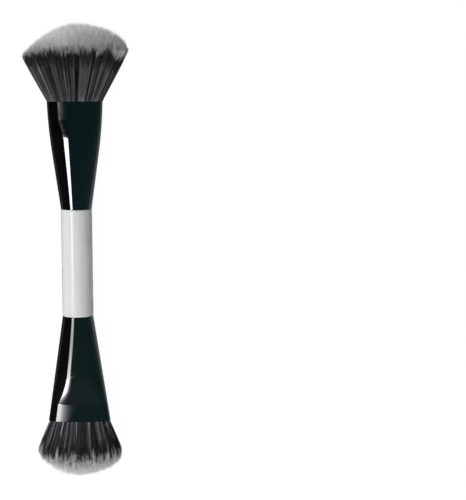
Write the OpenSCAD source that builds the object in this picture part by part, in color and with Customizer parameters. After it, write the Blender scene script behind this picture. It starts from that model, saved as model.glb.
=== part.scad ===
// Double ended makeup brush. A short pale grip carries a flared black ferrule at each end,
// pressed into a flat oval at its mouth, and each ferrule holds a dense head of two tone hair.
// The brush lies on its heads: +Y runs along it to the large head, X across the broad faces,
// +Z up, and the origin is under the middle of its length, on the table.

/* [Grip] */
// Diameter of the grip
grip_d = 12.4; // [12.3:0.1:13]
// Length of the grip between the two ferrules
grip_len = 43; // [38:1:50]
// Rounding round each end of the grip
grip_edge = 0.5; // [0.3:0.1:0.8]
// Diameter of the tenon that each ferrule slides over
tenon_d = 10.9; // [10:0.1:11]
// Length of each tenon
tenon_len = 9; // [8:0.5:11]
// Number of glue grooves round each tenon
groove_count = 3; // [2:1:4]
// Depth of a glue groove
groove_depth = 0.35; // [0.2:0.05:0.5]

/* [Ferrules] */
// Diameter of both ferrules where they meet the grip
ferrule_d = 12.2; // [12:0.1:12.4]
// Thickness of the ferrule metal
ferrule_wall = 0.45; // [0.3:0.05:0.55]
// Radius rolled onto the lip of each mouth
lip_r = 0.18; // [0.1:0.02:0.2]

/* [Large ferrule] */
// Length from the grip to the mouth
large_ferrule_len = 42.5; // [40:0.5:46]
// Width of the mouth
large_mouth_w = 22; // [20:0.5:24]
// Depth of the mouth, across the pressed faces
large_mouth_h = 10.5; // [9.5:0.5:11.5]
// Length of the straight cone, before the sides ease towards the mouth
large_cone_len = 22; // [16:1:26]
// Where the tube starts to be pressed flat, from the grip
large_press_from = 28; // [27:0.5:30]
// Where the pressing is complete, from the grip
large_press_to = 36.5; // [34:0.5:38]

/* [Small ferrule] */
// Length from the grip to the mouth
small_ferrule_len = 43; // [40:0.5:46]
// Width of the mouth
small_mouth_w = 25; // [23:0.5:27]
// Depth of the mouth, across the pressed faces
small_mouth_h = 8.2; // [7.6:0.2:10]
// Where the tube starts to be pressed flat, from the grip
small_press_from = 24; // [20:1:28]
// Length of the evenly flat collar at the mouth
small_collar_len = 7.8; // [6:0.2:9]

/* [Large head] */
// Length of the hair outside the mouth
large_hair_len = 30.6; // [27:0.1:36]
// Height above the mouth where the head is widest
large_hair_belly = 18.6; // [17:0.1:22]
// How much higher than that the widest place is on the +X side, and lower on the -X side
large_belly_tilt = 1.4; // [0:0.1:2]
// Width of the head
large_hair_w = 41.6; // [38:0.2:46]

/* [Small head] */
// Length of the hair outside the mouth
small_hair_len = 23.3; // [19:0.1:26]
// Height above the mouth where the head is widest
small_hair_belly = 12.4; // [10:0.1:14]
// How much higher than that the widest place is on the +X side, and lower on the -X side
small_belly_tilt = 0.3; // [0:0.1:1]
// Width of the head
small_hair_w = 34.2; // [32:0.2:37]

/* [Hair] */
// Depth of both heads through their broad faces
hair_depth = 19.4; // [18:0.2:21]
// Depth of the grooves between the locks at the widest place
lock_relief = 0.4; // [0.1:0.1:0.7]
// How much the locks differ in width, as a part of their mean width
lock_spread = 0.25; // [0:0.05:0.35]
// How far the tips of single locks stand above or below the crown
tip_scatter = 0.45; // [0.1:0.05:0.6]
// How far the hair reaches down inside the ferrule
root_len = 15; // [12:0.5:16]
// Thickness of the glue that holds the roots
glue_thick = 4.5; // [3:0.5:5]
// Width of the thread tied round the roots
tie_w = 1.8; // [1.2:0.2:2.4]
// Depth of the waist that the thread pulls into the roots
tie_depth = 0.7; // [0.4:0.1:0.9]

/* [Hidden] */
$fn = 96;

// Facets round a ferrule, round a thread, and round a head: each lock of hair is 4 facets.
ferrule_facets = 40;
tie_facets = 32;
lock_facets = 4;
locks = 24;
hair_facets = locks * lock_facets;

// Room for the film of glue between two pieces that one slides into the other.
slip = 0.06;

// The tenon's grooves start this far from the shoulder and repeat over the rest of its length.
groove_w = 0.8;
groove_start = 1.6;
groove_pitch = (tenon_len - groove_start - groove_w) / groove_count;
tenon_chamfer = 0.6;

// The axis is half a head above the table, less what the hair flattens where it lies.
axis_h = hair_depth / 2 - 0.2;
brush_up = grip_len / 2 + large_ferrule_len + large_hair_len;
brush_down = grip_len / 2 + small_ferrule_len + small_hair_len;
grip_y = (brush_down - brush_up) / 2;

// A mouth is squarer than an ellipse, because it is a round tube pressed between flat jaws.
round_power = 2;
large_mouth_power = 2.3;
small_mouth_power = 2.6;
head_power = 2.3;

// How steep the large ferrule's sides still are at the mouth, against its cone.
mouth_ease = 0.2;

// The small ferrule's pressing gathers towards its crease: 1 would be even all the way.
crease_gather = 1.5;
small_collar_from = small_ferrule_len - small_collar_len;

function blend(a, b, part) = a + (b - a) * part;
function clamp01(v) = min(1, max(0, v));
function smooth(v) = let (u = clamp01(v)) pow(u, 3) * (10 - 15 * u + 6 * u * u);
function between(a, b, parts) = [for (i = [1:parts - 1]) blend(a, b, i / parts)];

// Distances from the grip at which a ferrule's outline is drawn.
large_stations = [
    0,
    11,
    large_cone_len,
    large_press_from,
    each between(large_press_from, large_press_to, 4),
    large_press_to,
    large_ferrule_len - lip_r,
];
small_stations = [
    0,
    12,
    small_press_from,
    each between(small_press_from, small_collar_from, 5),
    small_collar_from,
    small_ferrule_len - lip_r,
];

// One point of a flat oval with half axes a and b, which a power of 2 makes an ellipse.
function oval_point(a, b, power, angle) = [
    a * sign(cos(angle)) * pow(abs(cos(angle)), 2 / power),
    b * sign(sin(angle)) * pow(abs(sin(angle)), 2 / power),
];

// A ring of points round the Y axis at y, for an oval of half axes a and b.
function oval_ring(a, b, power, y, facets) = [
    for (i = [0:facets - 1])
        let (p = oval_point(a, b, power, 360 * i / facets))
        [p.x, y, p.y]
];

// Two triangles for each facet between ring k and ring next.
function band_faces(k, next, facets) = [
    for (i = [0:facets - 1])
        let (j = (i + 1) % facets)
        each [
            [k * facets + i, k * facets + j, next * facets + j],
            [k * facets + i, next * facets + j, next * facets + i],
        ]
];

function side_faces(rings, facets) = [for (k = [0:rings - 2]) each band_faces(k, k + 1, facets)];
function start_face(facets) = [[for (i = [facets - 1:-1:0]) i]];
function end_face(rings, facets) = [[for (i = [0:facets - 1]) (rings - 1) * facets + i]];
function fan_faces(k, apex, facets) = [
    for (i = [0:facets - 1]) [k * facets + i, k * facets + (i + 1) % facets, apex]
];

function flatten(rings) = [for (ring = rings) each ring];
function reversed(list) = [for (i = [len(list) - 1:-1:0]) list[i]];

// A tube whose rings run out along its outside and back along its inside.
module ring_tube(rings, facets) {
    count = len(rings);
    faces = concat(side_faces(count, facets), band_faces(count - 1, 0, facets));
    polyhedron(points = flatten(rings), faces = faces, convexity = 4);
}

// A closed bar with a flat face at both ends.
module ring_bar(rings, facets) {
    count = len(rings);
    faces = concat(start_face(facets), side_faces(count, facets), end_face(count, facets));
    polyhedron(points = flatten(rings), faces = faces, convexity = 4);
}

// Half width of the large ferrule: a straight cone whose sides then ease towards the mouth.
function eased_reach(t) =
    let (past = max(0, t - large_cone_len), run = large_ferrule_len - large_cone_len)
    t - (1 - mouth_ease) * past * past / (2 * run);
function large_half_w(t) =
    blend(ferrule_d, large_mouth_w, eased_reach(t) / eased_reach(large_ferrule_len)) / 2;

// Half width of the small ferrule: one straight cone.
function small_half_w(t) = blend(ferrule_d, small_mouth_w, t / small_ferrule_len) / 2;

// How far the round tube is pressed flat at t: softly on the large ferrule, and on the small
// one faster and faster, up to the sharp crease where its collar starts.
function large_pressed(t) = smooth((t - large_press_from) / (large_press_to - large_press_from));
function small_pressed(t) =
    pow(clamp01((t - small_press_from) / (small_collar_from - small_press_from)), crease_gather);

function pressed(big, t) = big ? large_pressed(t) : small_pressed(t);
function press_end(big) = big ? large_press_to : small_collar_from;
function mouth_h(big) = big ? large_mouth_h : small_mouth_h;
function mouth_power(big) = big ? large_mouth_power : small_mouth_power;
function ferrule_len(big) = big ? large_ferrule_len : small_ferrule_len;

function half_w(big, t) = big ? large_half_w(t) : small_half_w(t);
function half_h(big, t) = blend(ferrule_d, mouth_h(big), pressed(big, t)) / 2;
function power_at(big, t) = blend(round_power, mouth_power(big), pressed(big, t));

// The ferrule's section at t from the grip, drawn inwards by inset.
function section(big, t, inset, facets) =
    oval_ring(half_w(big, t) - inset, half_h(big, t) - inset, power_at(big, t), t, facets);

// Places a piece that is drawn from the grip outwards: the large end to +Y, the small to -Y.
module at_end(big) {
    translate([0, grip_y, axis_h])
        mirror([0, big ? 0 : 1, 0])
            translate([0, grip_len / 2, 0])
                children();
}

module ferrule(big, stations) {
    mouth = ferrule_len(big);
    lip_inset = ferrule_wall - lip_r / 2;
    outside = [for (t = stations) section(big, t, 0, ferrule_facets)];
    lip = [for (inset = [lip_r, lip_inset]) section(big, mouth, inset, ferrule_facets)];
    inside = [for (t = reversed(stations)) section(big, t, ferrule_wall, ferrule_facets)];
    ring_tube(concat(outside, lip, inside), ferrule_facets);
}

// The glue fills the bore behind the roots, which end on its face.
module root_glue(big) {
    top = ferrule_len(big) - root_len;
    inset = ferrule_wall + slip;
    ring_bar([for (t = [top - glue_thick, top]) section(big, t, inset, ferrule_facets)], ferrule_facets);
}

// The thread lies in the waist that it pulls into the roots, and stays inside the bore.
tie_gap = 1.2;
module root_tie(big) {
    low = ferrule_len(big) - root_len + tie_gap;
    high = low + tie_w;
    outer = ferrule_wall + 3 * slip;
    inner = ferrule_wall + tie_depth + slip / 2;
    rings = [
        section(big, low, inner - tie_depth / 2, tie_facets),
        section(big, blend(low, high, 0.5), outer, tie_facets),
        section(big, high, inner - tie_depth / 2, tie_facets),
        section(big, high, inner, tie_facets),
        section(big, low, inner, tie_facets),
    ];
    ring_tube(rings, tie_facets);
}

function hair_len(big) = big ? large_hair_len : small_hair_len;
function hair_half_w(big) = (big ? large_hair_w : small_hair_w) / 2;
function belly_tilt(big) = big ? large_belly_tilt : small_belly_tilt;
function belly(big, angle) =
    (big ? large_hair_belly : small_hair_belly) + belly_tilt(big) * cos(angle);

// Each lock is a ridge between two grooves: its facets rise from the groove and fall again.
// No two locks next to each other have the same height or width.
lock_profile = [-1, 0.15, 1, 0.35];
lock_height = rands(0.45, 1, locks, 11);
lock_shift = rands(-lock_spread, lock_spread, locks, 5);
function lock_of(i) = floor(i / lock_facets) % locks;
function lock_ridge(i) = lock_profile[i % lock_facets] * lock_height[lock_of(i)];
function lock_angle(i) =
    let (
        lock = lock_of(i),
        part = (i % lock_facets) / lock_facets,
        shift = blend(lock_shift[lock], lock_shift[(lock + 1) % locks], part)
    )
    (lock + part + shift) * 360 / locks;

// The crown over the widest place, at fraction q of the way out from the axis. It is a full
// quarter round on the +X side and falls away more like a cone on the -X side, least so on the
// small head.
function crown(big, q, angle) =
    let (full = (1 + cos(angle)) / 2, inner = big ? 1.75 : 1.85, outer = big ? 0.8 : 0.66)
    pow(max(0, 1 - pow(q, blend(inner, 2, full))), blend(outer, 0.5, full));

// Heights above the mouth, as fractions of the widest place, at which the sides are drawn, and
// fractions of the way out from the axis at which the crown is.
side_steps = [0.05, 0.3, 0.6, 0.86, 1];
crown_steps = [0.985, 0.93, 0.84, 0.71, 0.55, 0.37, 0.18];

// The hair from the mouth to the widest place, pushed out a little as soon as it is free.
function hair_side_ring(big, step) =
    let (
        mouth = ferrule_len(big),
        power = blend(mouth_power(big), head_power, step),
        a = blend(half_w(big, mouth), hair_half_w(big), step),
        b = blend(half_h(big, mouth), hair_depth / 2, step)
    )
    [
        for (i = [0:hair_facets - 1])
            let (
                angle = lock_angle(i),
                ridge = lock_relief * step * lock_ridge(i),
                p = oval_point(a + ridge, b + ridge, power, angle)
            )
            [p.x, mouth + belly(big, angle) * step, max(p.y, -axis_h)]
    ];

function hair_crown_ring(big, row) =
    let (
        q = crown_steps[row],
        scatter = rands(-tip_scatter, tip_scatter, locks, 40 + row)
    )
    [
        for (i = [0:hair_facets - 1])
            let (
                angle = lock_angle(i),
                foot = belly(big, angle),
                ridge = lock_relief * lock_ridge(i) * q,
                p = oval_point(hair_half_w(big) * q + ridge, hair_depth / 2 * q + ridge, head_power, angle),
                tip = scatter[lock_of(i + row * 2)] * (1 - pow(q, 6)) * (1 - 0.5 * abs(ridge)),
                rise = (hair_len(big) - foot) * crown(big, q, angle) + tip
            )
            [p.x, ferrule_len(big) + foot + rise, max(p.y, -axis_h)]
    ];

module bristles(big) {
    mouth = ferrule_len(big);
    root = mouth - root_len;
    held = ferrule_wall + 2 * slip;
    waist_low = root + tie_gap - slip;
    waist_high = root + tie_gap + tie_w + slip;
    bend = max(press_end(big), waist_high + 1);
    stem = concat(
        [for (t = [root, waist_low]) section(big, t, held, hair_facets)],
        [for (t = [waist_low, waist_high]) section(big, t, held + tie_depth, hair_facets)],
        [
            for (t = [waist_high, blend(waist_high, bend, 0.5), bend, mouth])
                section(big, t, held, hair_facets)
        ]
    );
    sides = [for (step = side_steps) hair_side_ring(big, step)];
    crown_rings = [for (row = [0:len(crown_steps) - 1]) hair_crown_ring(big, row)];
    rings = concat(stem, sides, crown_rings);
    count = len(rings);
    apex = count * hair_facets;
    points = concat(flatten(rings), [[0, mouth + hair_len(big), 0]]);
    faces = concat(
        start_face(hair_facets),
        side_faces(count, hair_facets),
        fan_faces(count - 1, apex, hair_facets)
    );
    polyhedron(points = points, faces = faces, convexity = 6);
}

// Half of the handle's profile: half the grip with a rounded end, and the grooved tenon.
module handle_profile() {
    half = grip_len / 2;
    tenon_r = tenon_d / 2;
    square([grip_d / 2, half - grip_edge]);
    square([grip_d / 2 - grip_edge, half]);
    translate([grip_d / 2 - grip_edge, half - grip_edge])
        circle(r = grip_edge);
    difference() {
        polygon([
            [0, half - 1],
            [tenon_r, half - 1],
            [tenon_r, half + tenon_len - tenon_chamfer],
            [tenon_r - tenon_chamfer, half + tenon_len],
            [0, half + tenon_len],
        ]);
        for (i = [0:groove_count - 1])
            translate([tenon_r - groove_depth, half + groove_start + i * groove_pitch])
                square([groove_depth + 1, groove_w]);
    }
}

// The grip and both tenons are turned from one bar and lacquered.
module handle() {
    color("gainsboro")
        translate([0, grip_y, axis_h])
            rotate([-90, 0, 0])
                rotate_extrude() {
                    handle_profile();
                    mirror([0, 1, 0])
                        handle_profile();
                }
}

module large_ferrule() {
    color([0.05, 0.06, 0.06])
        at_end(true)
            ferrule(true, large_stations);
}

module large_bristles() {
    color([0.2, 0.2, 0.21])
        at_end(true)
            bristles(true);
}

module large_root_tie() {
    color("dimgray")
        at_end(true)
            root_tie(true);
}

module large_root_glue() {
    color("goldenrod")
        at_end(true)
            root_glue(true);
}

module small_ferrule() {
    color([0.05, 0.06, 0.06])
        at_end(false)
            ferrule(false, small_stations);
}

module small_bristles() {
    color([0.2, 0.2, 0.21])
        at_end(false)
            bristles(false);
}

module small_root_tie() {
    color("dimgray")
        at_end(false)
            root_tie(false);
}

module small_root_glue() {
    color("goldenrod")
        at_end(false)
            root_glue(false);
}

handle();
large_ferrule();
large_bristles();
large_root_tie();
large_root_glue();
small_ferrule();
small_bristles();
small_root_tie();
small_root_glue();
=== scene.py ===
"""Looks of a double ended makeup brush: lacquered grip, gloss black ferrules and two heads of
dip-dyed hair, lying on a pale table under one long soft box. Metres, in the frame of the CAD part:
+Y along the brush to the large head, +X across the broad faces, +Z up from the table."""
import math

import bmesh
import bpy
import numpy as np
from mathutils import Matrix, Vector


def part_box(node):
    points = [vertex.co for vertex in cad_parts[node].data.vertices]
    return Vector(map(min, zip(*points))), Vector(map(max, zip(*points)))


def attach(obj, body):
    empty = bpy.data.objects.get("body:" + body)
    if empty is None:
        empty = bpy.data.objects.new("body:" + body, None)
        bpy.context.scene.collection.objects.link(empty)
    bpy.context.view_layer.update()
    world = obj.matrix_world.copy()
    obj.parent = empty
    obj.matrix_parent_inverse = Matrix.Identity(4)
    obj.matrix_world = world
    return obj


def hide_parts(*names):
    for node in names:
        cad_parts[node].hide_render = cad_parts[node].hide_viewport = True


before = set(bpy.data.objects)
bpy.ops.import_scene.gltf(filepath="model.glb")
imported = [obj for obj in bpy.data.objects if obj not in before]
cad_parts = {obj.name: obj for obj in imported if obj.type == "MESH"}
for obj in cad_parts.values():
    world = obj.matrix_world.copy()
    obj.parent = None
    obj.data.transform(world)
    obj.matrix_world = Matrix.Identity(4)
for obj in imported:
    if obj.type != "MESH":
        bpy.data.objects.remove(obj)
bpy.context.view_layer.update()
MM = 0.001

# The photograph's frame: how large the brush shows in it, and where its axis runs.
IMAGE_W, IMAGE_H = 466, 500
PIXEL = 0.4 * MM
AXIS_PIXEL_X = 77.1
MIDDLE_PIXEL_Y = 253.7
CAMERA_DISTANCE = 0.510
CAMERA_TOWARDS_LARGE_HEAD = math.radians(6.8)
LEAN = math.radians(0.08)
SENSOR = 36.0

# Axis and ends of the brush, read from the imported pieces.
handle_low, handle_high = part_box("handle")
AXIS_H = (handle_low.z + handle_high.z) / 2
LARGE_GRIP_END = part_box("large_ferrule")[0].y
SMALL_GRIP_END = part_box("small_ferrule")[1].y
LARGE_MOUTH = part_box("large_ferrule")[1].y
SMALL_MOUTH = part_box("small_ferrule")[0].y

# Ferrules. The end of the metal is rounded outside and slopes back a little inside, by a part of
# the lip's radius. Beside each turn of the outline a second ring of points follows at once, which
# keeps the shading of the turn short.
FERRULE_D = 12.2 * MM
FERRULE_WALL = 0.45 * MM
LIP_R = 0.13 * MM
LIP_SLOPE = 0.3
HALF_CREASE = 0.12 * MM
BESIDE_TURN = 0.06 * MM
FERRULE_SEGMENTS = 144

# Heads of hair.
HAIR_DEPTH = 19.4 * MM
HAIR_POWER = 2.3
FACE_CLEARANCE = 0.1 * MM
TABLE_GAP = 0.05 * MM


class End:
    """One end of the brush, drawn from the grip outwards: t runs along its ferrule and h up its
    hair from the mouth, both in metres. Its sizes are attributes."""

    def __init__(self, name, sign, grip_end, mouth, **sizes):
        self.name = name
        self.sign = sign
        self.grip_end = grip_end
        self.ferrule_len = abs(mouth - grip_end)
        for label, size in sizes.items():
            setattr(self, label, size)

    def place(self, x, t, z):
        """A point t from the grip, x across and z above the axis, in the brush's frame."""
        return x, self.grip_end + self.sign * t, AXIS_H + z


large = End(
    "large", 1, LARGE_GRIP_END, LARGE_MOUTH,
    mouth_w=22 * MM, mouth_h=10.5 * MM, mouth_power=2.3,
    cone_len=22 * MM, mouth_ease=0.2, press=(28 * MM, 36.5 * MM), gather=None,
    hair_len=30.6 * MM, hair_w=41.6 * MM, belly=18.6 * MM, belly_tilt=1.9 * MM,
    root_inset=0.1 * MM, crown_left=(1.7, 0.84), crown_right=(2.0, 0.5),
    dye_line=19.2 * MM, dye_dome=3.0 * MM, dye_power=5, dye_shift=0.0,
    shell_hairs=6000, crown_hairs=11500, seed=5)

small = End(
    "small", -1, SMALL_GRIP_END, SMALL_MOUTH,
    mouth_w=25 * MM, mouth_h=8.2 * MM, mouth_power=2.6,
    cone_len=0, mouth_ease=1, press=(24 * MM, 35.8 * MM), gather=1.8,
    hair_len=23.3 * MM, hair_w=33.4 * MM, belly=12.4 * MM, belly_tilt=0.3 * MM,
    root_inset=0.4 * MM, crown_left=(1.85, 0.66), crown_right=(1.1, 0.35),
    dye_line=14.4 * MM, dye_dome=3.6 * MM, dye_power=2, dye_shift=2.0 * MM,
    shell_hairs=5400, crown_hairs=9000, seed=14)


def blend(a, b, part):
    return a + (b - a) * part


def clamp01(v):
    return np.clip(v, 0.0, 1.0)


def smooth(v):
    v = clamp01(v)
    return v ** 3 * (10 - 15 * v + 6 * v * v)


def oval(a, b, power, angle):
    """A point on a flat oval with half axes a and b. A power of 2 is an ellipse."""
    c, s = np.cos(angle), np.sin(angle)
    x = a * np.sign(c) * np.abs(c) ** (2 / power)
    z = b * np.sign(s) * np.abs(s) ** (2 / power)
    return x, z


# The outline of the ferrules.
def half_width(end, t):
    """Half width of a ferrule: a straight cone, whose sides ease towards the mouth from cone_len
    on. An ease of 1 leaves them straight."""
    def reach(v):
        past = np.maximum(0, v - end.cone_len)
        run = end.ferrule_len - end.cone_len
        return v - (1 - end.mouth_ease) * past * past / (2 * run)
    return blend(FERRULE_D, end.mouth_w, reach(t) / reach(end.ferrule_len)) / 2


FAINT_CREASE = 0.25


def pressed(end, t):
    """How far the round tube is pressed flat at t. The small ferrule's press starts in a faint
    crease, where the die's edge was, and gathers towards a sharp one."""
    part = clamp01((t - end.press[0]) / (end.press[1] - end.press[0]))
    if end.gather is None:
        return smooth(part)
    return blend(part ** end.gather, part, FAINT_CREASE)


def ferrule_point(end, t, inset, angle):
    """A point of the ferrule's section at t, drawn inwards by inset."""
    flat = pressed(end, t)
    half_depth = blend(FERRULE_D, end.mouth_h, flat) / 2
    power = blend(2, end.mouth_power, flat)
    x, z = oval(half_width(end, t) - inset, half_depth - inset, power, angle)
    return end.place(x, t, z)


# The outline that the hair makes together.
def belly_height(end, angle):
    """Height over the mouth at which the hair is widest: a little more on the +X side."""
    return end.belly + end.belly_tilt * np.cos(angle)


def belly_oval(end, angle, scale=1):
    return oval(end.hair_w / 2 * scale, HAIR_DEPTH / 2 * scale, HAIR_POWER, angle)


def crown_height(end, q, angle):
    """Height of the crown over the mouth at fraction q of the way out from the axis. It is fuller
    on the +X side: a quarter round on the large head, a slope with a steep end on the small one."""
    full = (1 + np.cos(angle)) / 2
    inner, outer = (blend(a, b, full) for a, b in zip(end.crown_left, end.crown_right))
    sweep = np.maximum(0, 1 - clamp01(q) ** inner) ** outer
    foot = belly_height(end, angle)
    return foot + (end.hair_len - foot) * sweep


def fan_point(end, q, angle, h):
    """Where a hair that leaves the mouth at fraction q of the way out is at height h."""
    mouth_x, mouth_z = oval(end.mouth_w / 2 - end.root_inset, end.mouth_h / 2 - FACE_CLEARANCE,
                            HAIR_POWER, angle)
    belly_x, belly_z = belly_oval(end, angle)
    part = h / end.belly
    return q * blend(mouth_x, belly_x, part), q * blend(mouth_z, belly_z, part)


def fraction_out(end, x, z):
    a, b = end.hair_w / 2, HAIR_DEPTH / 2
    return (np.abs(x / a) ** HAIR_POWER + np.abs(z / b) ** HAIR_POWER) ** (1 / HAIR_POWER)


def reach_crown(end, q, angle, halvings=24):
    """Height at which a hair meets the crown, found by halving the range."""
    low = np.zeros_like(q)
    high = np.full_like(q, end.hair_len)
    for _ in range(halvings):
        h = (low + high) / 2
        x, z = fan_point(end, q, angle, h)
        below = h < crown_height(end, fraction_out(end, x, z), np.arctan2(z, x))
        low = np.where(below, h, low)
        high = np.where(below, high, h)
    return low


# The hair's UV map tells the dye where each point of a hair is.
HAIR_UV = "OFBake"
DYE_SPAN = 40 * MM


def dye_v(end, x, h):
    """The second UV of the hair: 0.5 at the line that the dye reaches, 1 at 20 mm above it. The
    line drops towards both sides of the head."""
    across = clamp01(np.abs(x + end.dye_shift) / (end.hair_w / 2))
    line = end.dye_line - end.dye_dome * across ** end.dye_power
    return clamp01(0.5 + (h - line) / DYE_SPAN)


# Meshes: a sleeve is a row of rings drawn out of a circle, then each ring takes its own outline.
def put(name, data):
    """A new object in the scene."""
    made = bpy.data.objects.new(name, data)
    bpy.context.scene.collection.objects.link(made)
    return made


def sleeve(segments, rings):
    """A bmesh tube of unit circles round Y, one unit apart."""
    bm = bmesh.new()
    bmesh.ops.create_circle(bm, segments=segments, radius=1)
    bmesh.ops.rotate(bm, verts=bm.verts[:], matrix=Matrix.Rotation(math.radians(90), 3, "X"))
    edges = bm.edges[:]
    for _ in range(rings - 1):
        made = bmesh.ops.extrude_edge_only(bm, edges=edges)["geom"]
        bmesh.ops.translate(bm, verts=[g for g in made if isinstance(g, bmesh.types.BMVert)],
                            vec=(0, 1, 0))
        edges = [g for g in made if isinstance(g, bmesh.types.BMEdge)]
    return bm


def shape_rings(bm, outline):
    """Moves each vertex of a sleeve to outline(ring, angle). Gives the edges of its two ends."""
    ring_of = {v: round(v.co.y) for v in bm.verts}
    last = max(ring_of.values())
    for v in bm.verts:
        v.co = outline(ring_of[v], math.atan2(v.co.z, v.co.x))
    return [[e for e in bm.edges if all(ring_of[v] == ring for v in e.verts)]
            for ring in (0, last)]


def finish_mesh(bm, name, material):
    bmesh.ops.remove_doubles(bm, verts=bm.verts[:], dist=1e-7)
    bmesh.ops.recalc_face_normals(bm, faces=bm.faces[:])
    mesh = bpy.data.meshes.new(name)
    bm.to_mesh(mesh)
    bm.free()
    mesh.shade_smooth()
    mesh.materials.append(material)
    return put(name, mesh)


# Ferrules.
def stations(a, b, count):
    """Distances from the grip, from a up to the turn at b, which isn't one of them."""
    return [a] + list(np.linspace(a + BESIDE_TURN, b - BESIDE_TURN, count))


def ferrule_path(end):
    """Stations along the metal: out along the outside, over the lip, back along the inside.
    Each is (distance from the grip, inset from the outline)."""
    mouth = end.ferrule_len
    press_from, press_to = end.press
    outside = stations(0.0, press_from, 14)
    outside += stations(press_from, press_to - HALF_CREASE, 20)
    outside += [press_to - HALF_CREASE, press_to]
    outside += stations(press_to + HALF_CREASE, mouth - LIP_R, 8)
    outside += [mouth - LIP_R]
    lip = [
        (mouth - LIP_R * (1 - math.sin(a)), LIP_R * (1 - math.cos(a)))
        for a in np.linspace(0, math.pi / 2, 5)[1:]
    ]
    inner_edge = [(mouth - LIP_R * LIP_SLOPE, FERRULE_WALL)]
    inside = [(t, FERRULE_WALL) for t in reversed(outside[::3])]
    return [(t, 0.0) for t in outside] + lip + inner_edge + inside


def make_ferrule(end, material):
    path = ferrule_path(end)
    bm = sleeve(FERRULE_SEGMENTS, len(path))
    first, last = shape_rings(bm, lambda ring, angle: ferrule_point(end, *path[ring], angle))
    bmesh.ops.bridge_loops(bm, edges=first + last)
    return finish_mesh(bm, f"{end.name}_ferrule_shell", material)


# The dense mass under the outermost hairs, from its roots in the ferrule to its crown.
CORE_SEGMENTS = 96
CORE_SHRINK = 0.93
CORE_DROP = 2.0 * MM
ROOT_LEN = 15 * MM
ROOT_CLEARANCE = 0.12 * MM
STEM_RINGS = np.linspace(-ROOT_LEN, 0, 7)
SIDE_RINGS = np.linspace(0, 1, 9)[1:]
CROWN_RINGS = np.array([0.98, 0.93, 0.85, 0.75, 0.63, 0.5, 0.36, 0.22, 0.1])


def core_point(end, ring, angle):
    """A point of the core on that ring, counted from the roots up."""
    if ring < len(STEM_RINGS):
        t = end.ferrule_len + STEM_RINGS[ring]
        return ferrule_point(end, t, FERRULE_WALL + ROOT_CLEARANCE, angle)
    ring -= len(STEM_RINGS)
    if ring < len(SIDE_RINGS):
        h = SIDE_RINGS[ring] * belly_height(end, angle)
        x, z = fan_point(end, CORE_SHRINK, angle, h)
    else:
        q = CROWN_RINGS[ring - len(SIDE_RINGS)]
        x, z = belly_oval(end, angle, q * CORE_SHRINK)
        h = max(belly_height(end, angle), crown_height(end, q, angle) - CORE_DROP)
    return end.place(x, end.ferrule_len + h, max(z, TABLE_GAP - AXIS_H))


def make_core(end, material):
    bm = sleeve(CORE_SEGMENTS, len(STEM_RINGS) + len(SIDE_RINGS) + len(CROWN_RINGS))
    for edges in shape_rings(bm, lambda ring, angle: core_point(end, ring, angle)):
        bmesh.ops.contextual_create(bm, geom=edges)
    piece = finish_mesh(bm, f"{end.name}_hair_core", material)
    uv = piece.data.uv_layers.new(name=HAIR_UV)
    for loop in piece.data.loops:
        co = piece.data.vertices[loop.vertex_index].co
        h = abs(co.y - end.grip_end) - end.ferrule_len
        turn = math.atan2(co.z - AXIS_H, co.x) / (2 * math.pi) + 0.5
        uv.data[loop.index].uv = (turn, float(dye_v(end, co.x, h)))
    return piece


# Hairs. Each is a thin tapered tube of a few points, closed to a point at both ends. They gather
# in clumps of two locks. The shell stands round the head and starts just inside the mouth. The
# crown fills most of the head's section, and starts at a part of the height of the widest place,
# because it is hidden below that. Steps are the places of a hair's points, from 0 where it starts
# to 1 at its tip.
CLUMPS = 2400
LOCKS = 2
HAIR_R = 0.065 * MM
SHELL_STEPS = (0.0, 0.04, 0.36, 0.68, 0.93, 1.0)
SHELL_START = -0.8 * MM
SHELL_THICKNESS = 0.13
SHELL_CROWDING = 1.3
CROWN_STEPS = (0.0, 0.25, 0.86, 1.0)
CROWN_START = 0.72
CROWN_AREA = 0.93

# How unlike each other they are: in length, in the level of each clump, in how far they lean to
# their clump's centre, in how they stray and bow, and in thickness.
LENGTH_SPREAD = 0.28 * MM
LONGER_BY, LONGER_SHARE = 0.6 * MM, 0.05
CLUMP_LEVEL = 0.35 * MM
PULL_RANGE = (0.35, 0.7)
PULL_RISE = 1.3
STRAY = 0.16 * MM
BOW = 0.22 * MM
THICKNESS_RANGE = (0.8, 1.15)
TAPER_BEFORE_TIP = 0.75


def clump_centres(end, rng):
    """Points within the belly's outline that the hairs gather towards."""
    angle = rng.uniform(0, 2 * math.pi, CLUMPS)
    q = np.sqrt(rng.uniform(0, 1.0, CLUMPS))
    x, z = belly_oval(end, angle)
    return q * x, q * z


def nearest(points_x, points_z, centres_x, centres_z, at_once=2000):
    """Which centre is nearest to each point, worked out for some points at once."""
    found = np.empty(len(points_x), int)
    for start in range(0, len(points_x), at_once):
        part = slice(start, start + at_once)
        d = (points_x[part, None] - centres_x) ** 2 + (points_z[part, None] - centres_z) ** 2
        found[part] = d.argmin(axis=1)
    return found


def even_angles(end, count, rng):
    """Random angles spread evenly along the head's outline, not by angle."""
    quarter_degrees = 4 * 360 + 1
    table = np.linspace(0, 2 * math.pi, quarter_degrees)
    x, z = belly_oval(end, table)
    length = np.concatenate([[0], np.cumsum(np.hypot(np.diff(x), np.diff(z)))])
    return np.interp(rng.uniform(0, length[-1], count), length, table)


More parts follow.
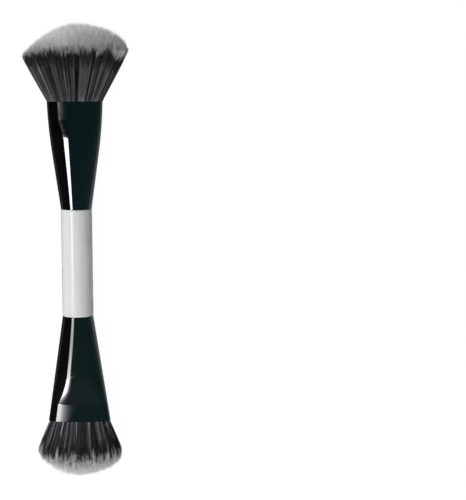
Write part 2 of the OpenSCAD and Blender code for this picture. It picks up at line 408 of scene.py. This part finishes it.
def grow_hairs(end, q, start, steps, rng, centres):
    """Points (hair, step, x y z), radii by hair, u by hair and v by hair and step. q is each
    hair's fraction of the way out at the mouth, start the height where it begins to show."""
    count = len(q)
    angle = even_angles(end, count, rng)
    length = rng.normal(0, LENGTH_SPREAD, count)
    length += rng.choice([0, LONGER_BY], count, p=[1 - LONGER_SHARE, LONGER_SHARE])
    tip_h = reach_crown(end, q, angle) + length
    tip_x, tip_z = fan_point(end, q, angle, tip_h)
    clump = nearest(tip_x, tip_z, *centres)
    pull = rng.uniform(*PULL_RANGE, CLUMPS)[clump]
    to_x = centres[0][clump] - tip_x
    to_z = centres[1][clump] - tip_z
    stray_x, stray_z = rng.normal(0, STRAY, (2, count))
    bow_x, bow_z = rng.normal(0, BOW, (2, count))
    radii = HAIR_R * rng.uniform(*THICKNESS_RANGE, count)
    level = rng.uniform(-CLUMP_LEVEL, CLUMP_LEVEL, CLUMPS)[clump]

    points = np.empty((count, len(steps), 3))
    v_of = np.empty((count, len(steps)))
    for k, s in enumerate(steps):
        h = start + (tip_h + level * s - start) * s
        x, z = fan_point(end, q, angle, h)
        share = clamp01(h / end.hair_len)
        gather = pull * share ** PULL_RISE
        x = x + to_x * gather + stray_x * share + bow_x * np.sin(math.pi * share)
        z = z + to_z * gather + stray_z * share + bow_z * np.sin(math.pi * share)
        z = np.maximum(z, TABLE_GAP + HAIR_R - AXIS_H)
        points[:, k, 0], points[:, k, 1], points[:, k, 2] = end.place(x, end.ferrule_len + h, z)
        v_of[:, k] = dye_v(end, x, h)

    # A clump's locks are its hairs from different sides of its centre, and u stays off the ends of
    # each lock's own stretch.
    lock = np.floor((np.arctan2(to_z, to_x) / (2 * math.pi) + 0.5) * LOCKS) % LOCKS
    u_of = (clump + (lock + rng.uniform(0.02, 0.98, count)) / LOCKS) / CLUMPS
    return points, radii, u_of, v_of


def hair_tubes(name, points, radii):
    """A mesh of one thin tapered tube through each row of points."""
    count = points.shape[1]
    taper = np.array([0.0] + [1.0] * (count - 2) + [0.0])
    if count > 3:
        taper[-2] = TAPER_BEFORE_TIP
    curve = bpy.data.curves.new(name, "CURVE")
    curve.dimensions = "3D"
    curve.bevel_depth = 1.0
    curve.bevel_resolution = 0
    for row, radius in zip(points, radii):
        spline = curve.splines.new("POLY")
        spline.points.add(count - 1)
        spline.points.foreach_set("co", np.column_stack([row, np.ones(count)]).ravel())
        spline.points.foreach_set("radius", radius * taper)
        spline.use_smooth = True
    holder = put(name, curve)
    depsgraph = bpy.context.evaluated_depsgraph_get()
    mesh = bpy.data.meshes.new_from_object(holder.evaluated_get(depsgraph))
    bpy.data.objects.remove(holder)
    bpy.data.curves.remove(curve)
    while mesh.uv_layers:
        mesh.uv_layers.remove(mesh.uv_layers[0])
    return mesh


def lay_hair_uv(mesh, u_of, v_of):
    """A tube has the same number of corners at each point of each hair, so a corner's place in
    the list says which hair and which point it belongs to."""
    count, steps = v_of.shape
    corners = len(mesh.vertices) // (count * steps)
    at = np.empty(len(mesh.loops), int)
    mesh.loops.foreach_get("vertex_index", at)
    hair = at // (corners * steps)
    point = at // corners % steps
    uv = mesh.uv_layers.new(name=HAIR_UV)
    uv.data.foreach_set("uv", np.stack([u_of[hair], v_of[hair, point]], axis=1).ravel())


def make_hairs(end, name, q, start, steps, material, rng, centres):
    """One piece of many hairs."""
    points, radii, u_of, v_of = grow_hairs(end, q, start, steps, rng, centres)
    mesh = hair_tubes(name, points, radii)
    lay_hair_uv(mesh, u_of, v_of)
    bm = bmesh.new()
    bm.from_mesh(mesh)
    bmesh.ops.remove_doubles(bm, verts=bm.verts[:], dist=1e-7)
    bm.to_mesh(mesh)
    bm.free()
    mesh.shade_smooth()
    mesh.materials.clear()
    mesh.materials.append(material)
    mesh.name = name
    return put(name, mesh)


# Shader nodes.
def feed(tree, node, inputs):
    """Links or sets inputs of a node, by their names or numbers. Colours come without alpha."""
    for key, value in inputs.items():
        socket = node.inputs[key]
        if isinstance(value, bpy.types.NodeSocket):
            tree.links.new(value, socket)
        elif socket.type == "RGBA":
            socket.default_value = (*value, 1)
        else:
            socket.default_value = value


def add_node(tree, kind, inputs=None, **settings):
    node = tree.nodes.new(kind)
    for key, value in settings.items():
        setattr(node, key, value)
    feed(tree, node, inputs or {})
    return node


def math_node(tree, operation, *values, clamp=False):
    inputs = dict(enumerate(values))
    node = add_node(tree, "ShaderNodeMath", inputs, operation=operation, use_clamp=clamp)
    return node.outputs[0]


def coordinate(tree, kind):
    return add_node(tree, "ShaderNodeTexCoord").outputs[kind]


def split(tree, vector):
    """The x, y and z of a vector."""
    return add_node(tree, "ShaderNodeSeparateXYZ", {0: vector}).outputs


def noise(tree, scale, detail, along=1):
    """Noise in the piece's own metres. It runs in streaks along the brush if along is small."""
    stretch = add_node(tree, "ShaderNodeMapping",
                       {"Vector": coordinate(tree, "Object"), "Scale": (1, along, 1)})
    inputs = {"Vector": stretch.outputs["Vector"], "Scale": scale, "Detail": detail}
    return add_node(tree, "ShaderNodeTexNoise", inputs).outputs["Fac"]


def map_range(tree, value, from_min, from_max, to_min=0, to_max=1, interpolation="SMOOTHSTEP"):
    inputs = {"Value": value, "From Min": from_min, "From Max": from_max,
              "To Min": to_min, "To Max": to_max}
    return add_node(tree, "ShaderNodeMapRange", inputs,
                    interpolation_type=interpolation).outputs["Result"]


def mix(tree, factor, a, b, kind="RGBA"):
    """a where factor is 0, b where it is 1."""
    inputs = {"Factor": factor, "A": a, "B": b}
    return add_node(tree, "ShaderNodeMix", inputs, data_type=kind).outputs["Result"]


def scale_colour(tree, colour, gain):
    node = add_node(tree, "ShaderNodeVectorMath", {0: colour, "Scale": gain}, operation="SCALE")
    return node.outputs["Vector"]


def ramp_node(tree, factor, stops):
    """A colour ramp. stops are (place, colour), with a grey as one number."""
    node = add_node(tree, "ShaderNodeValToRGB", {"Fac": factor})
    elements = node.color_ramp.elements
    while len(elements) < len(stops):
        elements.new(0.5)
    for element, (place, colour) in zip(elements, stops):
        element.position = place
        if isinstance(colour, (int, float)):
            colour = (colour, colour, colour)
        element.color = colour if len(colour) == 4 else (*colour, 1)
    return node.outputs["Color"]


def ramp_over(tree, value, stops):
    """A colour ramp over lengths: stops are (place in metres, colour), in order."""
    low, high = stops[0][0], stops[-1][0]
    factor = map_range(tree, value, low, high, interpolation="LINEAR")
    return ramp_node(tree, factor, [((at - low) / (high - low), colour) for at, colour in stops])


def bump(tree, height, depth, strength=1):
    inputs = {"Height": height, "Distance": depth, "Strength": strength}
    return add_node(tree, "ShaderNodeBump", inputs).outputs["Normal"]


def new_group(name, numbers, outputs):
    """A shader node group. numbers are its inputs with their defaults, outputs the kinds of its
    outputs, both by name."""
    group = bpy.data.node_groups.new(name, "ShaderNodeTree")
    for label, default in numbers.items():
        socket = group.interface.new_socket(name=label, in_out="INPUT",
                                            socket_type="NodeSocketFloat")
        socket.default_value = default
    for label, kind in outputs.items():
        group.interface.new_socket(name=label, in_out="OUTPUT", socket_type=kind)
    start = group.nodes.new("NodeGroupInput")
    end = group.nodes.new("NodeGroupOutput")
    return group, start.outputs, end


# Effects that several finishes share. The specks lie where the smears' noise is above a level.
SPECK_RADIUS = 0.09
SPECKS_ABOVE = 0.58


def handled_surface_group():
    """Faint smears, fine rubbing marks, a few specks and a soft waviness, as on lacquer."""
    group, given, end = new_group(
        "handled_surface",
        {"Smear Scale": 60.0, "Roughness": 0.1, "Smear": 0.05, "Speck Scale": 2500.0},
        {"Roughness": "NodeSocketFloat", "Height": "NodeSocketFloat", "Speck": "NodeSocketFloat"})
    smear = noise(group, given["Smear Scale"], 5)
    rub = noise(group, 3000, 3, along=0.08)
    rough = given["Roughness"]
    for marks in (smear, rub):
        swing = math_node(group, "SUBTRACT", marks, 0.5)
        swing = math_node(group, "MULTIPLY", swing, given["Smear"])
        rough = math_node(group, "ADD", rough, swing)
    speck = add_node(group, "ShaderNodeTexVoronoi",
                     {"Vector": coordinate(group, "Object"), "Scale": given["Speck Scale"]},
                     feature="F1")
    dots = math_node(group, "LESS_THAN", speck.outputs["Distance"], SPECK_RADIUS)
    sparse = math_node(group, "GREATER_THAN", smear, SPECKS_ABOVE)
    feed(group, end, {
        "Roughness": math_node(group, "MAXIMUM", rough, 0.0, clamp=True),
        "Height": smear,
        "Speck": math_node(group, "MULTIPLY", dots, sparse),
    })
    return group


# The dye over v of the hair's UV map, where 0.5 is the dye line and 0.025 is a millimetre.
DARK_HAIR = (
    (0.0, (0.058, 0.059, 0.061)), (0.05, (0.042, 0.043, 0.046)), (0.20, (0.046, 0.047, 0.050)),
    (0.33, (0.055, 0.056, 0.059)), (0.352, (0.051, 0.052, 0.055)),
    (0.378, (0.016, 0.017, 0.019)), (0.49, (0.012, 0.013, 0.015)))
BLEACHED_HAIR = (
    (0.49, (0.20, 0.20, 0.20)), (0.51, (0.45, 0.45, 0.44)), (0.56, (0.72, 0.72, 0.705)),
    (0.70, (0.92, 0.92, 0.90)))
DYE_EDGE = ((0.49, 0.0), (0.51, 1.0))
EVEN_BAND = ((0.350, 0.0), (0.380, 0.95))
STRANDS = 80

# How few of the clumps, locks and strands of the dark hair get painted sheen, and how much: (power,
# weight).
# That level also sets the coat's gloss. The bleached hair only varies a little by lock and strand.
CLUMP_SHINE = (4.0, 2.5)
LOCK_SHINE = (3.0, 1.6)
STRAND_SHINE = (6.0, 0.8)
# The painted shade: the dark hair's colour level where no painted sheen is added.
PAINTED_SHADE_LEVEL = 0.05
BLEACHED_LEVEL, BLEACHED_SWING = 0.75, 0.3


def dipped_hair_group():
    """Colour and sheen of one dip-dyed hair from its UV, with painted sheen and painted shade in
    the dark hair's colour: u names the hair, its lock and its clump, v the distance from the dye
    line."""
    group, given, end = new_group(
        "dipped_hair",
        {"Ragged": 0.03, "Lock Ragged": 0.05, "Clump Ragged": 0.03, "Dark Level": 1.0},
        {"Color": "NodeSocketColor", "Pale": "NodeSocketFloat", "Sheen": "NodeSocketFloat"})
    uv = add_node(group, "ShaderNodeUVMap", uv_map=HAIR_UV)
    u, along, _ = split(group, uv.outputs["UV"])

    def step_noise(steps, offset):
        """A random value that is the same over each of that many steps of u. The offset tells
        one draw from another."""
        step = math_node(group, "FLOOR", math_node(group, "MULTIPLY", u, steps))
        inputs = {"W": math_node(group, "ADD", step, offset)}
        return add_node(group, "ShaderNodeTexWhiteNoise", inputs,
                        noise_dimensions="1D").outputs["Value"]

    clumps, locks, strands = float(CLUMPS), float(CLUMPS * LOCKS), float(CLUMPS * LOCKS * STRANDS)
    for steps, label in ((strands, "Ragged"), (locks, "Lock Ragged"), (clumps, "Clump Ragged")):
        swing = math_node(group, "SUBTRACT", step_noise(steps, 0.37), 0.5)
        along = math_node(group, "ADD", along, math_node(group, "MULTIPLY", swing, given[label]))

    # Among the dark hair a few clumps get painted sheen, lighter in their colour and glossier in
    # their coat, and the others painted shade, but the darkest band just below the dye line is
    # even. The bleached tips vary far less from strand to strand.
    lock = step_noise(locks, 5.71)
    strand = step_noise(strands, 2.9)
    painted_and_coat_sheen = 0.0
    for level, (power, weight) in ((step_noise(clumps, 8.59), CLUMP_SHINE), (lock, LOCK_SHINE),
                                   (strand, STRAND_SHINE)):
        glint = math_node(group, "POWER", level, power)
        painted_and_coat_sheen = math_node(group, "ADD", math_node(group, "MULTIPLY", glint, weight), painted_and_coat_sheen)
    even = ramp_node(group, along, EVEN_BAND)
    painted_light_and_shade = mix(group, even, math_node(group, "ADD", painted_and_coat_sheen, PAINTED_SHADE_LEVEL), 1.0, "FLOAT")
    # The dark hair's colour is scaled by the painted sheen and painted shade.
    dark_gain = math_node(group, "MULTIPLY", painted_light_and_shade, given["Dark Level"])
    rare = math_node(group, "POWER", lock, LOCK_SHINE[0])
    swing = math_node(group, "MULTIPLY", math_node(group, "ADD", strand, rare), BLEACHED_SWING)
    bleached_gain = math_node(group, "ADD", swing, BLEACHED_LEVEL)
    dark = scale_colour(group, ramp_node(group, along, DARK_HAIR), dark_gain)
    bleached = scale_colour(group, ramp_node(group, along, BLEACHED_HAIR), bleached_gain)
    pale = ramp_node(group, along, DYE_EDGE)
    half_shine = math_node(group, "MULTIPLY", painted_and_coat_sheen, 0.5)
    feed(group, end, {
        "Color": mix(group, pale, dark, bleached),
        "Pale": pale,
        "Sheen": math_node(group, "MAXIMUM", half_shine, pale, clamp=True),
    })
    return group


# Finishes.
def new_material(name):
    material = bpy.data.materials.new(name)
    material.use_nodes = True
    tree = material.node_tree
    return material, tree, tree.nodes["Principled BSDF"]


def lacquer(name, colour, rough, smear, waviness, specular):
    """Gloss lacquer, with slightly lighter specks."""
    material, tree, shader = new_material(name)
    marks = add_node(tree, "ShaderNodeGroup", {"Roughness": rough, "Smear": smear},
                     node_tree=handled_surface).outputs
    speck_colour = [min(1, c * 1.3 + 0.004) for c in colour]
    feed(tree, shader, {
        "Base Color": mix(tree, marks["Speck"], colour, speck_colour),
        "Roughness": marks["Roughness"],
        "Specular IOR Level": specular,
        "Normal": bump(tree, marks["Height"], 0.05 * MM, waviness),
    })
    return material


def hair(name, roughness, **dyed):
    """Loose hair. Its gloss is a coat, because that can differ from strand to strand."""
    material, tree, shader = new_material(name)
    inputs = {label.replace("_", " "): value for label, value in dyed.items()}
    dye = add_node(tree, "ShaderNodeGroup", inputs, node_tree=dipped_hair).outputs
    rougher = math_node(tree, "MULTIPLY", dye["Pale"], 0.15)
    feed(tree, shader, {
        # The base colour carries the dye group's painted sheen and painted shade.
        "Base Color": dye["Color"],
        "Roughness": math_node(tree, "ADD", roughness, rougher),
        "Specular IOR Level": 0,
        "Coat Weight": dye["Sheen"],
        "Coat Roughness": roughness,
    })
    return material


def packed_hair(name):
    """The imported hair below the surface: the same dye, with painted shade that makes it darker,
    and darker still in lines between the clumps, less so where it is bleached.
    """
    material, tree, shader = new_material(name)
    inputs = {"Ragged": 0.0, "Lock Ragged": 0.05, "Dark Level": 0.6}
    dye = add_node(tree, "ShaderNodeGroup", inputs, node_tree=dipped_hair).outputs
    # Painted shade: darker lines between the clumps, with less of it where the hair is bleached.
    painted_light_and_shade = math_node(tree, "MULTIPLY", noise(tree, 900, 4, along=0.1), 0.8)
    lit = math_node(tree, "MULTIPLY", dye["Pale"], 0.5)
    gain = math_node(tree, "ADD", painted_light_and_shade, lit, clamp=True)
    feed(tree, shader, {"Base Color": scale_colour(tree, dye["Color"], gain), "Roughness": 0.7})
    return material


def mottled(name, colour, dark, scale, rough, depth):
    """Thread and glue inside the ferrules: a mottled colour with a bump of the same noise."""
    material, tree, shader = new_material(name)
    mottle = noise(tree, scale, 6)
    feed(tree, shader, {
        "Base Color": ramp_node(tree, mottle, [(0.3, dark), (0.7, colour)]),
        "Roughness": rough,
        "Normal": bump(tree, mottle, depth),
    })
    return material


handled_surface = handled_surface_group()
dipped_hair = dipped_hair_group()
black_lacquer = lacquer("ferrule_black", (0.0009, 0.0014, 0.0016),
                        rough=0.045, smear=0.03, waviness=0.05, specular=0.9)
grip_lacquer = lacquer("grip_lacquer", (0.78, 0.79, 0.785),
                       rough=0.07, smear=0.03, waviness=0.08, specular=0.18)
large_hair = hair("large_dipped_hair", 0.34, Ragged=0.05, Lock_Ragged=0.08, Clump_Ragged=0.035,
                  Dark_Level=1.6)
small_hair = hair("small_dipped_hair", 0.34, Ragged=0.09, Lock_Ragged=0.15, Clump_Ragged=0.05,
                  Dark_Level=1.95)
core_hair = packed_hair("packed_hair")
thread = mottled("binding_thread", (0.30, 0.28, 0.25), (0.14, 0.13, 0.12),
                 scale=2600, rough=0.8, depth=0.1 * MM)
glue = mottled("root_glue", (0.46, 0.30, 0.12), (0.30, 0.18, 0.06),
               scale=500, rough=0.3, depth=0.05 * MM)


# Pieces.
def dress(node_name, material):
    """Gives a piece of the CAD part its finish."""
    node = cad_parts[node_name]
    node.data.materials.clear()
    node.data.materials.append(material)


dress("handle", grip_lacquer)
for end, hair_finish in ((large, large_hair), (small, small_hair)):
    dress(f"{end.name}_root_tie", thread)
    dress(f"{end.name}_root_glue", glue)

    ferrule = make_ferrule(end, black_lacquer)
    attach(ferrule, "root")
    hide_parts(f"{end.name}_ferrule")

    core = make_core(end, core_hair)
    rng = np.random.default_rng(end.seed)
    centres = clump_centres(end, rng)
    shell_q = 1 - SHELL_THICKNESS * rng.uniform(0, 1, end.shell_hairs) ** SHELL_CROWDING
    shell = make_hairs(end, f"{end.name}_hair_outer", shell_q, SHELL_START, SHELL_STEPS,
                       hair_finish, rng, centres)
    crown_q = np.sqrt(rng.uniform(0, CROWN_AREA, end.crown_hairs))
    crown = make_hairs(end, f"{end.name}_hair_crown", crown_q, end.belly * CROWN_START,
                       CROWN_STEPS, hair_finish, rng, centres)
    for piece in (core, shell, crown):
        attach(piece, "root")
        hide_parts(f"{end.name}_bristles")


# Camera.
def aim(obj, back, up):
    """Turns obj so that it looks against back, with up as near as it can be to its own up."""
    right = up.cross(back).normalized()
    obj.matrix_world = Matrix.Translation(obj.location) @ Matrix(
        (right, back.cross(right), back)).transposed().to_4x4()


def set_camera():
    data = bpy.data.cameras.new("camera")
    data.sensor_width = SENSOR
    data.lens = SENSOR * CAMERA_DISTANCE / (IMAGE_H * PIXEL)
    camera = put("camera", data)
    target = Vector(((IMAGE_W / 2 - AXIS_PIXEL_X) * PIXEL, (MIDDLE_PIXEL_Y - IMAGE_H / 2) * PIXEL,
                     AXIS_H))
    back = Vector((0, math.sin(CAMERA_TOWARDS_LARGE_HEAD), math.cos(CAMERA_TOWARDS_LARGE_HEAD)))
    camera.location = target + back * CAMERA_DISTANCE
    aim(camera, back, Vector((math.sin(LEAN), math.cos(LEAN), 0)))
    bpy.context.scene.camera = camera


# Light. One long soft box stands on the -X side. The matt surfaces get it as a plain one, and the
# surfaces that mirror get a copy of it, whose level differs over its face.
KEY_DISTANCE = 0.5
KEY_ANGLE = math.radians(20)
KEY_WIDTH = 0.165
KEY_ENDS = (-0.45, 0.046)
KEY_RADIANCE = 9.7
STRIP_ANGLES = (math.radians(5), math.radians(43))
STRIP_RADIANCE = 17.0
STRIP_FADE = 2.7
STRIP_RIM = 0.006
FILL_DISTANCE = 0.2
FILL_SIZE = 0.2

# What the lacquer mirrors of the soft box, as (y, where its inner edge is, how soft that edge is,
# its level, where its outer edge is), with the edges in metres out to the left: a glow that fades
# inwards above the small collar, a weaker strip above the small cone, a bright and sharp one above
# the large cone, and a faint glow beyond.
STRIP_PROFILE = (
    (-0.45, 0.150, 0.090, 0.01, 0.347), (-0.40, 0.155, 0.090, 0.02, 0.355),
    (-0.37, 0.162, 0.090, 0.07, 0.362), (-0.35, 0.168, 0.090, 0.16, 0.362),
    (-0.335, 0.172, 0.090, 0.22, 0.362), (-0.325, 0.175, 0.090, 0.35, 0.360),
    (-0.312, 0.180, 0.090, 0.80, 0.355), (-0.295, 0.185, 0.090, 1.00, 0.347),
    (-0.196, 0.200, 0.080, 1.00, 0.347),
    (-0.191, 0.050, 0.210, 0.54, 0.347), (-0.160, 0.050, 0.210, 0.60, 0.347),
    (-0.154, 0.225, 0.040, 0.80, 0.347), (-0.140, 0.215, 0.045, 0.50, 0.345),
    (-0.130, 0.195, 0.045, 0.36, 0.337), (-0.118, 0.180, 0.045, 0.31, 0.335),
    (-0.105, 0.175, 0.045, 0.42, 0.333), (-0.09, 0.180, 0.015, 0.60, 0.318),
    (-0.05, 0.183, 0.012, 1.00, 0.307), (0.026, 0.183, 0.012, 1.00, 0.307),
    (0.034, 0.190, 0.020, 0.45, 0.318), (0.040, 0.120, 0.170, 0.03, 0.325),
    (0.045, 0.120, 0.170, 0.07, 0.325), (0.054, 0.120, 0.170, 0.13, 0.325),
    (0.063, 0.170, 0.100, 0.04, 0.325), (0.10, 0.190, 0.080, 0.02, 0.325),
    (0.15, 0.190, 0.080, 0.03, 0.325), (0.165, 0.190, 0.080, 0.02, 0.325),
    (0.19, 0.190, 0.080, 0.02, 0.325), (0.21, 0.190, 0.080, 0.00, 0.325))


def soft_box(name, direction, distance, y_ends, width, radiance):
    """An area light seen from the axis in that direction, of that radiance whatever its size."""
    y_low, y_high = y_ends
    data = bpy.data.lights.new(name, "AREA")
    data.shape = "RECTANGLE"
    data.size = width
    data.size_y = y_high - y_low
    data.energy = radiance * math.pi * data.size * data.size_y
    light = put(name, data)
    back = Vector(direction).normalized()
    light.location = Vector((0, (y_low + y_high) / 2, AXIS_H)) + back * distance
    aim(light, back, Vector((0, 1, 0)))
    return light


def leaning_left(angle):
    """The direction that leans from straight up to the -X side by that angle."""
    return -math.sin(angle), 0, math.cos(angle)


def key_strip():
    key = soft_box("key_strip", leaning_left(KEY_ANGLE), KEY_DISTANCE, KEY_ENDS, KEY_WIDTH,
                   KEY_RADIANCE)
    key.visible_glossy = False


def mirrored_strip():
    """The same soft box for the surfaces that mirror it."""
    from_angle, to_angle = STRIP_ANGLES
    width = 2 * KEY_DISTANCE * math.tan((to_angle - from_angle) / 2)
    strip = soft_box("mirrored_strip", leaning_left((from_angle + to_angle) / 2), KEY_DISTANCE,
                     (STRIP_PROFILE[0][0], STRIP_PROFILE[-1][0]), width, STRIP_RADIANCE)
    strip.visible_diffuse = False
    strip.data.use_nodes = True
    tree = strip.data.node_tree
    x, y, _ = split(tree, add_node(tree, "ShaderNodeNewGeometry").outputs["Position"])
    left = math_node(tree, "MULTIPLY", x, -1.0)
    here = ramp_over(tree, y, [(row[0], row[1:]) for row in STRIP_PROFILE])
    inner, softness, level = add_node(tree, "ShaderNodeSeparateColor", {0: here}).outputs
    outer = here.node.outputs["Alpha"]
    past_inner = math_node(tree, "SUBTRACT", left, inner)
    across = math_node(tree, "DIVIDE", past_inner, softness, clamp=True)
    within = math_node(tree, "DIVIDE", math_node(tree, "SUBTRACT", outer, left), STRIP_RIM,
                       clamp=True)
    shape = math_node(tree, "MULTIPLY", math_node(tree, "POWER", across, STRIP_FADE), within)
    feed(tree, tree.nodes["Emission"], {"Strength": math_node(tree, "MULTIPLY", shape, level)})


def end_fill(name, direction, y, radiance):
    """A weak light beyond one end of the brush, for the matt surfaces only."""
    light = soft_box(name, direction, FILL_DISTANCE, (y - FILL_SIZE / 2, y + FILL_SIZE / 2),
                     FILL_SIZE, radiance)
    light.visible_glossy = False
    light.visible_camera = False


# Room. Over -1 on the left to 1 on the right it is an even dim light, and a dark teal one in what
# the lacquer mirrors.
EVEN_ROOM = ((-1.0, 0.14), (0.0, 0.11), (1.0, 0.08))
MIRRORED_ROOM = (
    (-1.0, (0.005, 0.006, 0.007)), (-0.52, (0.006, 0.009, 0.010)), (-0.32, (0.035, 0.115, 0.12)),
    (0.94, (0.035, 0.125, 0.13)), (1.0, (0.05, 0.15, 0.16)))
GREY_BEHIND = (0.075, 0.075, 0.07)
BEHIND_GAIN = -2.5
LOW_GLOW = (0.25, 0.30, 0.31)
LOW_GLOW_TOP = 0.11
LOW_GLOW_FROM, LOW_GLOW_FULL = 0.3, 0.6


def by_ray(tree, ray, others, hit):
    """The colour others, or hit for rays of that kind."""
    return mix(tree, add_node(tree, "ShaderNodeLightPath").outputs[ray], others, hit)


def studio():
    """The mirrored room is greyer beyond the small end, and glows low down on the right. The
    camera sees white."""
    world = bpy.data.worlds.new("studio")
    bpy.context.scene.world = world
    world.use_nodes = True
    tree = world.node_tree
    x, y, z = split(tree, coordinate(tree, "Generated"))
    behind = math_node(tree, "MULTIPLY", y, BEHIND_GAIN, clamp=True)
    greyer = add_node(tree, "ShaderNodeVectorMath",
                      {0: behind, 1: GREY_BEHIND, 2: ramp_over(tree, x, MIRRORED_ROOM)},
                      operation="MULTIPLY_ADD")
    low_down = map_range(tree, z, 0.0, LOW_GLOW_TOP, 1, 0)
    on_right = map_range(tree, x, LOW_GLOW_FROM, LOW_GLOW_FULL)
    mirrored = mix(tree, math_node(tree, "MULTIPLY", low_down, on_right),
                   greyer.outputs["Vector"], LOW_GLOW)
    lit = by_ray(tree, "Is Glossy Ray", ramp_over(tree, x, EVEN_ROOM), mirrored)
    feed(tree, tree.nodes["Background"], {"Color": by_ray(tree, "Is Camera Ray", lit, (1, 1, 1))})


# Table: white to the camera with a trace of the brush's shadow, lit as a pale table otherwise.
# To the lacquer's reflections it glows instead, with a painted light over x that is dark on the -X
# side and bright just beside the brush on +X.
TABLE_SIZE = 4.0
TABLE_GREY, SHADOW_GREY, VIEW_WHITE = 0.85, 0.06, 0.98
TABLE_GLOW_FOR_REFLECTIONS = (
    (-60 * MM, 0.03), (-45 * MM, 0.15), (-33 * MM, 0.24), (-24 * MM, 0.08), (-15 * MM, 0.02),
    (0.0, 0.02), (6 * MM, 0.7), (14 * MM, (0.42, 0.47, 0.48)), (34 * MM, (0.40, 0.45, 0.46)),
    (50 * MM, (0.23, 0.28, 0.29)), (70 * MM, (0.12, 0.16, 0.17)), (100 * MM, (0.05, 0.13, 0.14)))


def table_material():
    material, tree, shader = new_material("pale_table")
    tree.nodes.remove(shader)
    ray = add_node(tree, "ShaderNodeLightPath").outputs
    grey, shadow, white = (
        add_node(tree, kind, {"Color": (level, level, level)}).outputs[0]
        for kind, level in (("ShaderNodeBsdfDiffuse", TABLE_GREY),
                            ("ShaderNodeBsdfDiffuse", SHADOW_GREY),
                            ("ShaderNodeEmission", VIEW_WHITE))
    )
    seen = add_node(tree, "ShaderNodeAddShader", {0: white, 1: shadow}).outputs[0]
    x = split(tree, coordinate(tree, "Object"))[0]
    # For reflections only, the table glows: a painted light over x that no lamp casts.
    glossy = add_node(tree, "ShaderNodeEmission", {"Color": ramp_over(tree, x, TABLE_GLOW_FOR_REFLECTIONS)})
    unseen = add_node(tree, "ShaderNodeMixShader",
                      {0: ray["Is Glossy Ray"], 1: grey, 2: glossy.outputs[0]}).outputs[0]
    surface = add_node(tree, "ShaderNodeMixShader",
                       {0: ray["Is Camera Ray"], 1: unseen, 2: seen}).outputs[0]
    feed(tree, tree.nodes["Material Output"], {"Surface": surface})
    return material


def make_table():
    bm = bmesh.new()
    bmesh.ops.create_grid(bm, x_segments=1, y_segments=1, size=TABLE_SIZE / 2)
    mesh = bpy.data.meshes.new("table")
    bm.to_mesh(mesh)
    bm.free()
    mesh.materials.append(table_material())
    return put("table", mesh)


set_camera()
key_strip()
mirrored_strip()
end_fill("large_end_fill", (-0.45, 0.86, 0.16), 0.08, 2.6)
end_fill("small_end_fill", (0, -0.95, 0.2), -0.08, 0.6)
studio()
floor = make_table()

bpy.context.scene.view_settings.view_transform = "Standard"
